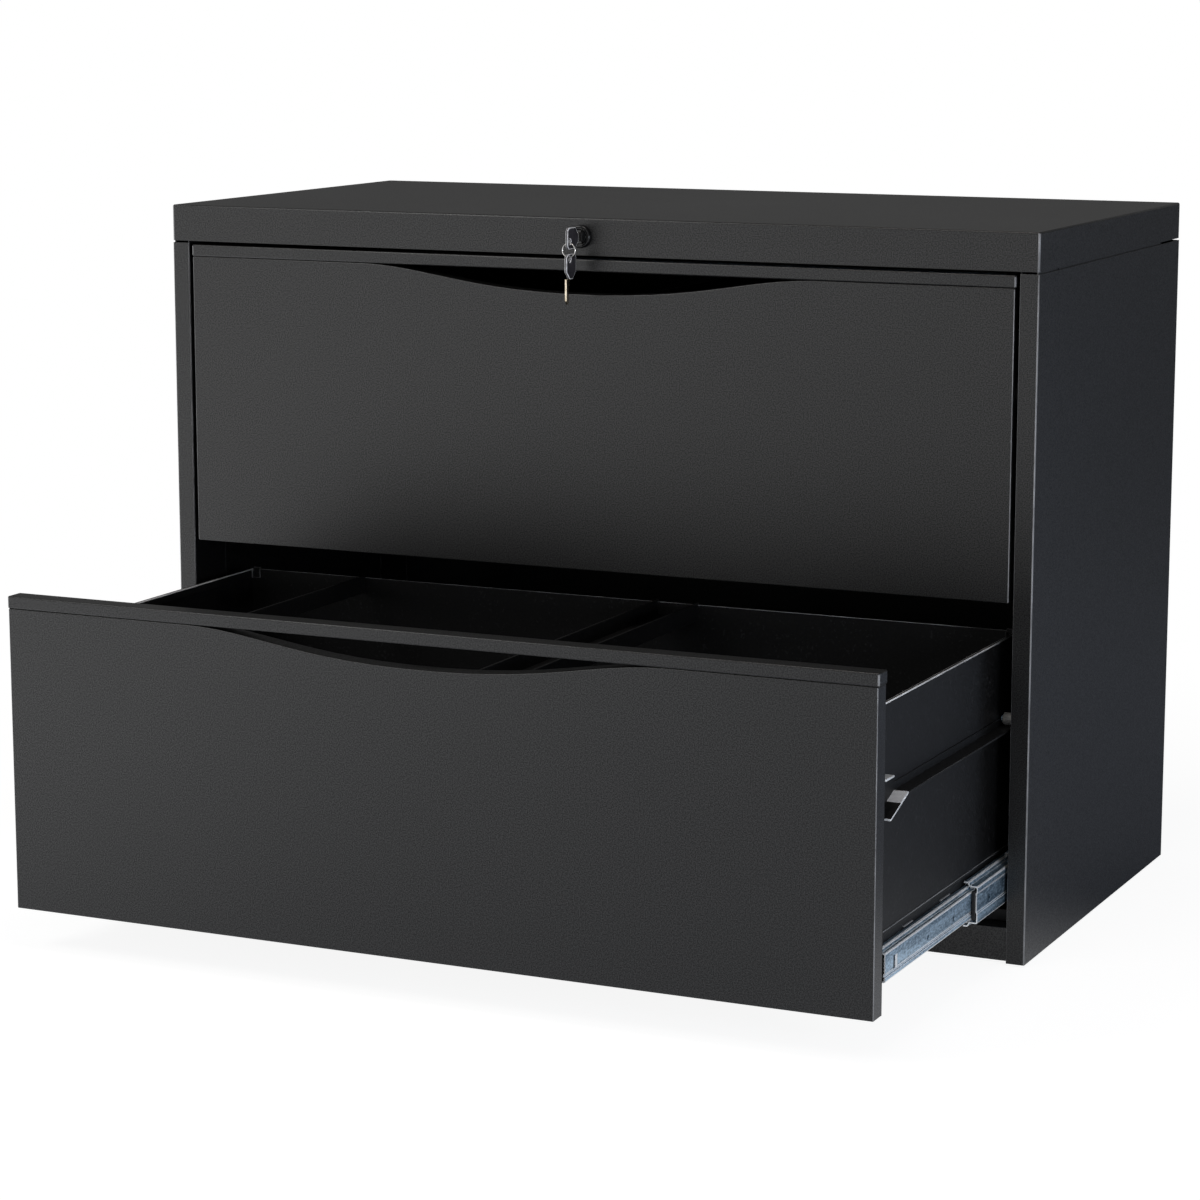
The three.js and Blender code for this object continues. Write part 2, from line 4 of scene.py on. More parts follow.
import bmesh
import bpy
from mathutils import Matrix, Vector

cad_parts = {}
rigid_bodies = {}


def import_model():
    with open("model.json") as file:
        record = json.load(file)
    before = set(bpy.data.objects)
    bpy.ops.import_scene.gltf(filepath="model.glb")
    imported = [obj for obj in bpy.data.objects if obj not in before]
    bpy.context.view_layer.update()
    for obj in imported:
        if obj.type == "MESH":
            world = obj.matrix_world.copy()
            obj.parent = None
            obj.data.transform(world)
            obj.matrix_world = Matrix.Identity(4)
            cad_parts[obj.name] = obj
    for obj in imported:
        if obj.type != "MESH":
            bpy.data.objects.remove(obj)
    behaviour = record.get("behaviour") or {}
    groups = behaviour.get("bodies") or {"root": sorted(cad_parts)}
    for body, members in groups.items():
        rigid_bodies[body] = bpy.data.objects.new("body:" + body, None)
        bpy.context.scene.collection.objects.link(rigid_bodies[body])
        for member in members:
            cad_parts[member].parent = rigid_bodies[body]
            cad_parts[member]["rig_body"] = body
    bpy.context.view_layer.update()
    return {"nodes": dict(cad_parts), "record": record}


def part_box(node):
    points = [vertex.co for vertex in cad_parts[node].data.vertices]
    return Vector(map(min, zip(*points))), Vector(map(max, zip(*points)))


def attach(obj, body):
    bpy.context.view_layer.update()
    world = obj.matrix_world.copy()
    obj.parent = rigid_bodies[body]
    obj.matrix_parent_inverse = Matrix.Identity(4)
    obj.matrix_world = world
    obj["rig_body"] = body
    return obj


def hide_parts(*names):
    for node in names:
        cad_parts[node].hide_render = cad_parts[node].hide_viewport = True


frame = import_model()
mm = 0.001
sides = (("left", -1), ("right", 1))
drawers = ("lower", "upper")


def sizes(look, *keys):     # settings in mm, as metres
    return [look[key] * mm for key in keys]


# Shader maths

class Wire:
    def __init__(self, tree, socket=None):
        self.tree, self.socket = tree, socket

    def node(self, kind, settings, sockets, out=0):     # settings first, then values or wires by socket
        made = self.tree.nodes.new(kind)
        for key, value in settings.items():
            setattr(made, key, value)
        for key, value in sockets.items():
            if isinstance(value, Wire):
                self.tree.links.new(value.socket, made.inputs[key])
            else:
                made.inputs[key].default_value = value
        return Wire(self.tree, made.outputs[out]) if len(made.outputs) else None

    def maths(self, operation, first, second):
        return self.node("ShaderNodeMath", {"operation": operation}, {0: first, 1: second})

    def __add__(self, other):
        return self.maths("ADD", self, other)

    def __sub__(self, other):
        return self.maths("SUBTRACT", self, other)

    def __rsub__(self, other):
        return self.maths("SUBTRACT", other, self)

    def __mul__(self, other):
        return self.maths("MULTIPLY", self, other)

    __radd__ = __add__

    def larger(self, other):
        return self.maths("MAXIMUM", self, other)

    def between(self, low, high):     # 0 below low, 1 above high, smooth in the middle
        settings = {"interpolation_type": "SMOOTHSTEP"}
        return self.node("ShaderNodeMapRange", settings, {"Value": self, "From Min": low, "From Max": high})

    def blend(self, low, high):     # low where this is 0, high where it is 1
        return self.node("ShaderNodeMix", {"data_type": "RGBA"}, {0: self, 6: low, 7: high}, 2)

    def colours(self, look):     # from the finish's dark tone to its light one
        return self.blend((*look["dark"], 1), (*look["light"], 1))

    def noise(self, scale, detail, stretch=(1, 1, 1)):
        spots = self.node("ShaderNodeMapping", {}, {"Vector": self, "Scale": stretch})
        return self.node("ShaderNodeTexNoise", {}, {"Vector": spots, "Scale": scale, "Detail": detail})


def startFinish(name):
    material = bpy.data.materials.new(name)
    material.use_nodes = True
    material.node_tree.nodes.clear()
    bare = Wire(material.node_tree)
    return material, bare.node("ShaderNodeTexCoord", {}, {}, "Object")


def shade(place, sockets, height, depth, strength):     # depth in mm
    relief = {"Height": height, "Distance": depth * mm, "Strength": strength}
    sockets["Normal"] = place.node("ShaderNodeBump", {}, relief)
    surface = place.node("ShaderNodeBsdfPrincipled", {}, sockets)
    place.node("ShaderNodeOutputMaterial", {}, {"Surface": surface})


# Finishes

coatLook = {"dark": (0.002, 0.002, 0.0021), "light": (0.0095, 0.0094, 0.0094), "grain": 850, "peel": 140,
            "cloud": 2.6, "span": (0.3, 0.7), "roughness": 0.37, "specular": 0.33, "gloss": 0.6,
            "glossSpan": (0.36, 0.64), "relief": 0.3}
# black inner coat, kept darker than the outer coat as painted shade inside the drawers, with dust flecks
shadedInnerLook = {"dark": (0.002, 0.002, 0.0021), "light": (0.006, 0.006, 0.0063), "fleck": (0.022, 0.022, 0.023),
             "grain": 420, "span": (0.3, 0.7), "dust": 330, "dustSpan": (0.6, 0.72), "patch": 38,
             "patchSpan": (0.38, 0.62), "dusty": 0.8, "roughness": 0.5, "specular": 0.3, "relief": 0.14}
# light tones for rounded folds and cut edges, painted on as highlights; the hem tone is a brighter painted
# glint
edgeHighlightLook = {"dark": (0.13, 0.13, 0.132), "light": (0.26, 0.26, 0.264), "run": 25, "roughness": 0.38}
hemHighlightLook = {"dark": (0.4, 0.4, 0.405), "light": (0.75, 0.75, 0.755), "run": 18, "roughness": 0.34}
rubAndSheenSpan, rubAndSheenRelief = (0.32, 0.68), 0.08
zincLook = {"dark": (0.085, 0.15, 0.22), "light": (0.46, 0.62, 0.76), "streak": 160, "mottle": 560,
            "streakRun": (1, 0.05, 1), "mottleRun": (1, 0.4, 1), "span": (0.36, 0.64), "roughness": 0.36,
            "metallic": 0.75, "relief": 0.05}
# bright steel: real bare steel for the tab and cage, and a painted highlight on slide folds, slide ends and
# the cam ramp
bareAndGlintLook = {"dark": (0.78, 0.8, 0.81), "light": (0.95, 0.96, 0.96), "roughness": 0.3}
glossLook = {"dark": (0.002, 0.002, 0.0022), "light": (0.005, 0.005, 0.0055), "roughness": 0.12,
             "specular": 0.36}
nickelLook = {"dark": (0.58, 0.56, 0.53), "light": (0.84, 0.83, 0.81), "roughness": 0.2}
brassyLook = {"dark": (0.47, 0.39, 0.28), "light": (0.8, 0.72, 0.58), "roughness": 0.27}
nylonLook = {"dark": (0.3, 0.3, 0.29), "light": (0.52, 0.52, 0.5), "roughness": 0.48}
plasticLook = {"dark": (0.012, 0.012, 0.013), "light": (0.032, 0.032, 0.034), "roughness": 0.34}
# light rim tone for the key bows: a painted highlight on the rounded rim
rimGlintLook = {"dark": (0.5, 0.5, 0.52), "light": (0.86, 0.86, 0.88), "roughness": 0.22}
panelLook = {"dark": (0.022, 0.021, 0.025), "light": (0.045, 0.042, 0.05), "roughness": 0.4}
# near-black matt end stop: a moulding that stands in for the shade in the slides' front hollows
shadeStopLook = {"dark": (0.002, 0.002, 0.0022), "light": (0.006, 0.006, 0.0064), "roughness": 0.85}
smoothSpan, smoothRelief, fineTimes = (0.35, 0.65), 0.04, 9


def powderCoat():     # fine sanded texture over a soft orange peel
    material, place = startFinish("powderCoat")
    grain = place.noise(coatLook["grain"], 3.0)
    peel = place.noise(coatLook["peel"], 2.0)
    cloud = place.noise(coatLook["cloud"], 2.0)
    tone = grain.between(*coatLook["span"]) * 0.8 + cloud.between(*coatLook["span"]) * 0.2
    rough = coatLook["roughness"] + (grain - 0.5) * 0.2 + (cloud - 0.5) * 0.08
    gloss = grain.between(*coatLook["glossSpan"]) * coatLook["gloss"]
    shade(place, {"Base Color": tone.colours(coatLook), "Roughness": rough, "Coat Weight": gloss,
                  "Specular IOR Level": coatLook["specular"], "Coat Roughness": coatLook["roughness"]},
          grain * 0.6 + peel * 0.4, coatLook["relief"], 0.5)
    return material


def innerCoat():     # thinner black coat with dust in it, kept darker than the outer coat as painted shade for the drawer insides
    material, place = startFinish("innerCoat")
    grain = place.noise(shadedInnerLook["grain"], 3.0)
    specks = place.noise(shadedInnerLook["dust"], 1.0).between(*shadedInnerLook["dustSpan"])
    dust = specks * place.noise(shadedInnerLook["patch"], 2.0).between(*shadedInnerLook["patchSpan"])
    clean = grain.between(*shadedInnerLook["span"]).colours(shadedInnerLook)
    tone = (dust * shadedInnerLook["dusty"]).blend(clean, (*shadedInnerLook["fleck"], 1))
    shade(place, {"Base Color": tone, "Roughness": shadedInnerLook["roughness"] + (grain - 0.5) * 0.24,
                  "Specular IOR Level": shadedInnerLook["specular"]}, grain + dust * 0.5, shadedInnerLook["relief"], 0.4)
    return material


def wornEdge(name, look):     # light tone on folds and cut edges: a painted highlight, broken into patches like coat rubbed thin
    material, place = startFinish(name)
    rub = place.noise(look["run"], 4.0).between(*rubAndSheenSpan)
    grain = place.noise(coatLook["grain"], 2.0)
    shade(place, {"Base Color": rub.colours(look), "Roughness": look["roughness"] + (0.5 - rub) * 0.16},
          grain, rubAndSheenRelief, 0.3)
    return material


def zincSteel():     # bright zinc with a cold passivated tint and rolling streaks along Y
    material, place = startFinish("zincSteel")
    streak = place.noise(zincLook["streak"], 3.0, zincLook["streakRun"])
    mottle = place.noise(zincLook["mottle"], 4.0, zincLook["mottleRun"])
    tone = (streak * 0.45 + mottle * 0.55).between(*zincLook["span"])
    rough = zincLook["roughness"] + (mottle - 0.5) * 0.3 + (streak - 0.5) * 0.12
    shade(place, {"Base Color": tone.colours(zincLook), "Metallic": zincLook["metallic"], "Roughness": rough},
          streak, zincLook["relief"], 0.25)
    return material


def smoothFinish(name, look, metallic=0.0, scale=120):     # moulded, plated or polished pieces
    material, place = startFinish(name)
    flow = place.noise(scale, 3.0)
    fine = place.noise(scale * fineTimes, 2.0)
    tone = (flow * 0.6 + fine * 0.4).between(*smoothSpan)
    shade(place, {"Base Color": tone.colours(look), "Metallic": metallic,
                  "Specular IOR Level": look.get("specular", 0.5),
                  "Roughness": look["roughness"] + (fine - 0.5) * 0.14}, fine, smoothRelief, 0.2)
    return material


finishes = {
    "powder_coat": powderCoat(),
    "inner_coat": innerCoat(),
    "zinc_steel": zincSteel(),
    "black_gloss": smoothFinish("blackGloss", glossLook),
    "nickel": smoothFinish("nickelPlate", nickelLook, 1.0, 300),
    "nylon": smoothFinish("nylon", nylonLook),
    "black_plastic": smoothFinish("blackPlastic", plasticLook, 0.0, 260),
}
# painted highlight for edges, and a brighter painted glint for hems and the cam ramp
edgeHighlightPaint = wornEdge("wornEdge", edgeHighlightLook)
wornHem = wornEdge("wornHem", hemHighlightLook)
# bright steel, also used as a painted highlight on slide folds and ends
bareSteel = smoothFinish("bareSteel", bareAndGlintLook, 0.3, 90)
brassy = smoothFinish("brassyPlate", brassyLook, 1.0, 300)
# painted highlight for the key bows' rims
plasticRim = smoothFinish("plasticRim", rimGlintLook, 0.0, 260)
plasticPanel = smoothFinish("plasticPanel", panelLook, 0.0, 260)
# near-black matt finish, painted shade for the slides' front hollows
stopRubber = smoothFinish("stopRubber", shadeStopLook, 0.0, 260)
slotOf = {row["node"]: row["material_slot"] for row in frame["record"]["subparts"]}
print("finishes made:", len(bpy.data.materials))


# Modelling helpers

solidGap, spinGap = 0.005 * mm, 0.002 * mm     # doubles to merge in a solid's copy and after a full spin
anyWidth = 10     # metres, wider than any face
roundAngle = math.radians(35)     # sharper edges than this stay sharp


def bodyOf(node):
    return frame["nodes"][node]["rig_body"]


def camel(node):
    first, *rest = node.split("_")
    return first + "".join(word.title() for word in rest)


def nodeCopy(node):     # one merged copy of a solid, with its flat faces whole
    bm = bmesh.new()
    bm.from_mesh(frame["nodes"][node].data)
    bmesh.ops.remove_doubles(bm, verts=bm.verts, dist=solidGap)
    bmesh.ops.dissolve_limit(bm, angle_limit=math.radians(1), verts=bm.verts, edges=bm.edges)
    return bm


def faceWidth(face):
    return face.calc_area() / max(edge.calc_length() for edge in face.edges)


def sharpEdges(bm, narrowest, widest, least=0.6):     # outer corners by the width of their narrower face
    found = []
    for edge in bm.edges:
        if len(edge.link_faces) != 2 or not edge.is_convex or edge.calc_face_angle(0) < least:
            continue
        if narrowest <= min(faceWidth(face) for face in edge.link_faces) < widest:
            found.append(edge)
    return found


def highlightedFace(face, rule):     # faces that take the painted highlight: upright folds, or folds along the top
    longest = max(face.edges, key=lambda edge: edge.calc_length())
    upright = abs((longest.verts[0].co - longest.verts[1].co).normalized().z) > 0.9
    return ("upright" in rule and upright) or ("top" in rule and face.normal.z > 0.2)


def roundOff(bm, edges, width, segments=2, slot=None, rule=None):
    made = bmesh.ops.bevel(bm, geom=edges, offset=width, offset_type="OFFSET", affect="EDGES",
                           segments=segments, profile=0.5, material=-1, clamp_overlap=True)
    for face in made["faces"]:
        face.smooth = True
        if slot is not None and (rule is None or highlightedFace(face, rule)):
            face.material_index = slot


def addPiece(name, bm, body, materials, replaced=()):
    mesh = bpy.data.meshes.new(name)
    bm.to_mesh(mesh)
    bm.free()
    for material in materials:
        mesh.materials.append(material)
    piece = bpy.data.objects.new(name, mesh)
    bpy.context.scene.collection.objects.link(piece)
    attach(piece, body)
    if replaced:
        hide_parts(*replaced)
    return piece


def spunSmooth(bm):     # closes a full spin's seam and turns its faces outwards
    bmesh.ops.remove_doubles(bm, verts=bm.verts, dist=spinGap)
    bmesh.ops.recalc_face_normals(bm, faces=bm.faces)
    for face in bm.faces:
        face.smooth = True


def lathe(profile, axis, centre, steps=40):     # profile of (radius, distance along the axis)
    bm = bmesh.new()
    along = Vector(axis)
    across = along.orthogonal().normalized()
    line = [bm.verts.new(across * radius + along * run) for radius, run in profile]
    for first, second in zip(line, line[1:]):
        bm.edges.new((first, second))
    bmesh.ops.spin(bm, geom=bm.verts[:] + bm.edges[:], cent=(0, 0, 0), axis=along, angle=2 * math.pi,
                   steps=steps, use_merge=True)
    spunSmooth(bm)
    bmesh.ops.translate(bm, verts=bm.verts, vec=centre)
    return bm


def block(bm, low, high):
    size = Vector(high) - Vector(low)
    spot = Matrix.Translation((Vector(high) + Vector(low)) / 2) @ Matrix.Diagonal((*size, 1))
    bmesh.ops.create_cube(bm, size=1, matrix=spot)


def joined(bm, other):     # adds the second mesh to the first
    mesh = bpy.data.meshes.new("joining")
    other.to_mesh(mesh)
    other.free()
    bm.from_mesh(mesh)
    bpy.data.meshes.remove(mesh)


def thickened(bm, outline, way):     # plate of an outline's points, as thick as the way it is drawn out
    face = bm.faces.new([bm.verts.new(point) for point in outline])
    swept = bmesh.ops.extrude_face_region(bm, geom=[face])["geom"]
    moved = [part for part in swept if isinstance(part, bmesh.types.BMVert)]
    bmesh.ops.translate(bm, verts=moved, vec=way)
    bmesh.ops.recalc_face_normals(bm, faces=bm.faces)


def foldedBar(line, sheet, start, end, corner):     # sheet folded along Y round the (x, z) points of a line
    points = [Vector(point) for point in line]
    left, right = [], []
    for point in points:
        ways = [after - before for before, after in zip(points, points[1:]) if point in (before, after)]
        normals = [Vector((-way.y, way.x)).normalized() for way in ways]
        mitre = sum(normals, Vector((0, 0))).normalized()
        reach = mitre * (sheet / 2 / mitre.dot(normals[0]))
        left.append(point + reach)
        right.append(point - reach)
    bm = bmesh.new()
    thickened(bm, [(x, start, z) for x, z in left + right[::-1]], (0, end - start, 0))
    whole = (end - start) * 0.9     # shorter edges don't run along the bar
    outer = [edge for edge in bm.edges
             if edge.calc_length() > whole and edge.is_convex and edge.calc_face_angle(0) > 0.9
             and min(faceWidth(face) for face in edge.link_faces) > 2 * sheet]
    # fold roundings take the second slot, which paints a highlight on the slides
    roundOff(bm, outer, corner, 3, 1)
    small = [edge for edge in bm.edges if edge.calc_length() > whole and edge.calc_face_angle(0) > 0.3
             and not any(face.smooth for face in edge.link_faces)]
    roundOff(bm, small, 0.25 * sheet, 2, 1)
    return bm


def punched(piece, cutters):     # cuts holes and leaves the finished mesh on the piece
    tools = []
    for bm in cutters:
        mesh = bpy.data.meshes.new("punch")
        bm.to_mesh(mesh)
        bm.free()
        tool = bpy.data.objects.new("punch", mesh)
        bpy.context.scene.collection.objects.link(tool)
        cut = piece.modifiers.new("hole", "BOOLEAN")
        cut.operation, cut.object, cut.solver = "DIFFERENCE", tool, "EXACT"
        tools.append(tool)
    bpy.context.view_layer.update()
    view = bpy.context.evaluated_depsgraph_get()
    plain = piece.data
    piece.data = bpy.data.meshes.new_from_object(piece.evaluated_get(view))
    piece.modifiers.clear()
    bpy.data.meshes.remove(plain)
    piece.data.set_sharp_from_angle(angle=roundAngle)
    for tool in tools:
        bpy.data.objects.remove(tool)


def rodX(radius, start, end, y, z):
    bm = bmesh.new()
    spot = Matrix.Translation(((start + end) / 2, y, z)) @ Matrix.Rotation(math.pi / 2, 4, "Y")
    bmesh.ops.create_cone(bm, cap_ends=True, segments=20, radius1=radius, radius2=radius, depth=end - start,
                          matrix=spot)
    return bm


# Folded sheet pieces

foldRadius = {"top_cover": 1.8, "side_panel": 1.2, "front_panel": 0.7, "pull_strip": 1.5, "kick_panel": 1.4,
              "rear_base_rail": 1.4, "front_upright": 1.2, "rear_upright": 1.2, "front_rail": 1.2,
              "bottom_pan": 1.2, "wall": 1.0, "file_bar": 0.6, "centre_file_rail": 1.2, "interlock_bar": 0.6,
              "lock_link": 0.4, "lock_cam": 0.5, "lock_nut": 0.8, "back_panel": 0.4, "front_liner": 0.4,
              "back_wall": 0.4, "drawer_bottom": 0.4}
cutRadius = 0.3     # sheared edges of the sheet
cutWidth = {"front_panel": 4, "other": 3}     # faces narrower than this are sheared edges
# pieces whose folds and cut edges get a painted highlight, upright ones or those along the top
highlightedFolds = {"top_cover": "upright", "side_panel": "upright", "front_panel": "upright",
               "pull_strip": "upright", "front_upright": "upright", "wall": "top", "back_wall": "top"}


def kindOf(node):
    return max((kind for kind in foldRadius if node.endswith(kind)), key=len, default=None)


def sheetPiece(node):
    kind = kindOf(node)
    rule = highlightedFolds.get(kind)
    slot = 1 if rule else None
    narrow = cutWidth.get(kind, cutWidth["other"]) * mm
    bm = nodeCopy(node)
    roundOff(bm, sharpEdges(bm, narrow, anyWidth), foldRadius[kind] * mm, 3, slot, rule)
    roundOff(bm, sharpEdges(bm, 0, narrow), cutRadius * mm, 2, slot, rule)
    # the painted highlight finish goes in the second slot
    highlightPaint = wornHem if rule == "top" else edgeHighlightPaint
    addPiece(camel(node), bm, bodyOf(node), [finishes[slotOf[node]], highlightPaint], [node])


sheetNodes = [node for node in frame["nodes"] if kindOf(node)]
for node in sheetNodes:
    sheetPiece(node)
print("sheet pieces:", len(sheetNodes))


# Cam rails, bare where the roller runs onto the ramp, and painted bright there as a highlight of the lit
# faces

# the first size sets where the painted glint on the ramp's sloped faces begins
camLook = {"rub": 25, "ramp": 43, "fold": 0.5, "edge": 3}


def camPiece(node):
    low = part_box(node)[0]
    rub, ramp, fold, edge = sizes(camLook, "rub", "ramp", "fold", "edge")
    rubAndSheenStart, rampEnd = low.y + rub, low.y + ramp
    bm = nodeCopy(node)
    for cut in (rubAndSheenStart, rampEnd):
        bmesh.ops.bisect_plane(bm, geom=bm.verts[:] + bm.edges[:] + bm.faces[:], plane_co=(0, cut, 0),
                               plane_no=(0, 1, 0))
    # near the front, cut edges and faces looking straight up or forward get bright bare steel as a painted
    # highlight; sloped faces further back get the painted hem glint, and the lip's lower part keeps the dark
    # coat
    for face in bm.faces:
        run = face.calc_center_median().y
        cutEdge = face.normal.x > 0.9 and faceWidth(face) < edge
        if run < rampEnd and (cutEdge or face.normal.z > 0.99 or face.normal.y < -0.9):
            face.material_index = 2
        elif rubAndSheenStart < run < rampEnd and face.normal.z > 0.3:
            face.material_index = 1
    roundOff(bm, sharpEdges(bm, 0, anyWidth, 1.0), fold)
    coats = [finishes[slotOf[node]], wornHem, bareSteel]
    addPiece(camel(node), bm, bodyOf(node), coats, [node])


for drawer in drawers:
    camPiece(f"{drawer}_cam_rail")
print("cam rails made")


# Ball slides, made for the right-hand side and turned over for the left

railLook = {"sheet": 1.2, "corner": 1.5, "race": 4.7, "joggle": 1.7, "step": 0.8,
            "innerWeb": 13.2, "groove": 5.5, "grooveWide": 2, "grooveDeep": 0.8,
            "middleWeb": 17.7, "shelfTop": 5, "shelfLow": 9, "shelfBend": 1.4,
            "innerHole": 2.2, "innerHoles": (108, 176, 300), "middleHole": 3, "middleHoles": (34, 210),
            "outerHole": 2.6, "outerHoles": (45, 190, 360), "punchIn": 4, "punchOut": 1}


def handed(bm, side):
    if side < 0:
        bmesh.ops.scale(bm, vec=(-1, 1, 1), verts=bm.verts)
        bmesh.ops.reverse_faces(bm, faces=bm.faces)
    return bm


def rightBox(node, side):     # a node's box as if it were on the right
    low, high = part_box(node)
    if side > 0:
        return low, high
    return Vector((-high.x, low.y, low.z)), Vector((-low.x, high.y, high.z))


def railLine(low, high, member):     # flared races at the drawer's side, and a web with a pressed form
    sheet, race, joggle, step = sizes(railLook, "sheet", "race", "joggle", "step")
    half, middle = sheet / 2, (low.z + high.z) / 2
    web, flat, rise = high.x - half, railLook[member + "Web"] * mm - half, high.z - half - middle
    flare = [(low.x + half, rise), (low.x + race, rise), (low.x + race + joggle, flat), (web, flat)]
    if member == "middle":     # sunk panel between two shelves
        upper, lower, bend = sizes(railLook, "shelfTop", "shelfLow", "shelfBend")
        pressed = [(web, flat - upper), (web - step, flat - upper - bend), (web - step, lower + bend - flat),
                   (web, lower - flat)]
    else:     # groove along the lower edge
        groove, wide, deep = sizes(railLook, "groove", "grooveWide", "grooveDeep")
        pressed = [(web, groove + wide - flat), (web - step, groove + deep - flat),
                   (web - step, groove - deep - flat), (web, groove - wide - flat)]
    return [(x, middle + z) for x, z in flare + pressed + [(x, -z) for x, z in reversed(flare)]]


def plainLine(low, high):
    half = railLook["sheet"] * mm / 2
    top = [(low.x + half, high.z - half), (high.x - half, high.z - half)]
    return top + [(x, low.z + high.z - z) for x, z in reversed(top)]


def slideMember(node, side, line, cutters):
    low, high = rightBox(node, side)
    sheet, corner = sizes(railLook, "sheet", "corner")
    bm = foldedBar(line, sheet, low.y, high.y, corner)
    # end faces take the bright steel too, as a painted highlight
    for face in bm.faces:
        if abs(face.normal.y) > 0.9:
            face.material_index = 1
    zincWithGlint = [finishes["zinc_steel"], bareSteel]
    piece = addPiece(camel(node), handed(bm, side), bodyOf(node), zincWithGlint, [node])
    punched(piece, [handed(cutter, side) for cutter in cutters])


def roundHoles(low, high, member):
    middle = (low.z + high.z) / 2
    radius, inside, outside = sizes(railLook, member + "Hole", "punchIn", "punchOut")
    return [rodX(radius, high.x - inside, high.x + outside, low.y + run * mm, middle)
            for run in railLook[member + "Holes"]]


tabLook = {"run": 20, "height": 12, "slot": 5, "start": 4.6, "end": 10, "cutIn": 4, "cutOut": 2, "soft": 0.3,
           "turn": 6}


def innerMember(node, side):
    low, high = rightBox(node, side)
    run, height, opened, start, end = sizes(tabLook, "run", "height", "slot", "start", "end")
    inside, outside, soft = sizes(tabLook, "cutIn", "cutOut", "soft")
    face, first, middle = high.x, low.y + run, (low.z + high.z) / 2
    bottom, top = middle - height / 2, middle + height / 2
    slot = bmesh.new()
    block(slot, (face - inside, first, bottom), (face + outside, first + opened, top))
    tab = bmesh.new()     # tongue bent out of the slot
    block(tab, (face - railLook["sheet"] * mm, first + start, bottom), (face, first + end, top))
    turn = Matrix.Rotation(math.radians(tabLook["turn"]), 3, "Z")
    bmesh.ops.rotate(tab, verts=tab.verts, cent=(face, first + end, middle), matrix=turn)
    roundOff(tab, tab.edges[:], soft)
    slideMember(node, side, railLine(low, high, "inner"), [slot] + roundHoles(low, high, "inner"))
    addPiece(camel(node) + "Tab", handed(tab, side), bodyOf(node), [bareSteel])


cageLook = {"sheet": 0.4, "corner": 0.3, "front": 3, "row": 165, "ball": 1.6, "pitch": 9.0, "firstBall": 0.6,
            "ballInset": 2.6, "pocketOut": 1.5, "pocketIn": 1.7, "slope": 3.8, "webGap": 0.9, "webRise": 14.8}


def ballCage(node, side, low, high):     # two rows of balls in a folded cage
    innerHigh = rightBox(node.replace("middle", "inner"), side)[1]
    sheet, corner, front, row = sizes(cageLook, "sheet", "corner", "front", "row")
    ball, pitch, inset, slope = sizes(cageLook, "ball", "pitch", "ballInset", "slope")
    outwards, inwards, webGap, webRise = sizes(cageLook, "pocketOut", "pocketIn", "webGap", "webRise")
    middle, start, end = (low.z + high.z) / 2, low.y + front, low.y + row
    ballX, ballRise = low.x + inset, (innerHigh.z + high.z - railLook["sheet"] * mm) / 2 - middle
    top = [(ballX - outwards, middle + ballRise), (ballX + inwards, middle + ballRise),
           (ballX + slope, middle + webRise), (innerHigh.x + webGap, middle + webRise)]
    line = top + [(x, 2 * middle - z) for x, z in reversed(top)]
    cage = foldedBar(line, sheet, start, end, corner)
    addPiece(camel(node) + "Cage", handed(cage, side), bodyOf(node), [bareSteel, bareSteel])
    balls = bmesh.new()
    for rise in (ballRise, -ballRise):
        for number in range(int((end - start) / pitch)):
            run = start + (number + cageLook["firstBall"]) * pitch
            spot = Matrix.Translation((ballX, run, middle + rise))
            bmesh.ops.create_uvsphere(balls, u_segments=10, v_segments=6, radius=ball, matrix=spot)
    for face in balls.faces:
        face.smooth = True
    addPiece(camel(node) + "Balls", handed(balls, side), bodyOf(node), [finishes["nickel"]])


endStopShadeSize = {"length": 7, "proud": 4, "height": 27, "gap": 0.75, "soft": 0.3}


def endStopShade(node, side, low, high):     # dark moulding that closes the front end between the two webs, made near black and matt as painted shade for the hollow there
    innerHigh = rightBox(node.replace("middle", "inner"), side)[1]
    length, proud, height, gap, soft = sizes(endStopShadeSize, "length", "proud", "height", "gap", "soft")
    sheet, step = sizes(railLook, "sheet", "step")
    middle = (low.z + high.z) / 2
    shadeBlock = bmesh.new()
    block(shadeBlock, (innerHigh.x + gap, low.y - proud, middle - height / 2),
          (high.x - sheet - step, low.y + length, middle + height / 2))
    roundOff(shadeBlock, shadeBlock.edges[:], soft)
    addPiece(camel(node) + "Stop", handed(shadeBlock, side), bodyOf(node), [stopRubber])


def middleMember(node, side):
    low, high = rightBox(node, side)
    slideMember(node, side, railLine(low, high, "middle"), roundHoles(low, high, "middle"))
    ballCage(node, side, low, high)
    endStopShade(node, side, low, high)


def outerMember(node, side):
    low, high = rightBox(node, side)
    slideMember(node, side, plainLine(low, high), roundHoles(low, high, "outer"))


for drawer in drawers:
    for hand, side in sides:
        innerMember(f"{drawer}_{hand}_slide_inner", side)
        middleMember(f"{drawer}_{hand}_slide_middle", side)
        outerMember(f"{drawer}_{hand}_slide_outer", side)
print("ball slides made")


# Drawer wall trim

trimSunk = 0.4     # trim starts this far inside the wall
beadLook = {"rise": 7, "height": 3.2, "proud": 0.9, "front": 14, "back": 12, "soft": 0.8}
hookLook = {"rise": 1.2, "sheet": 1.3, "proud": 1.6, "soft": 0.3, "runs": ((88, 110), (184, 208), (252, 268))}


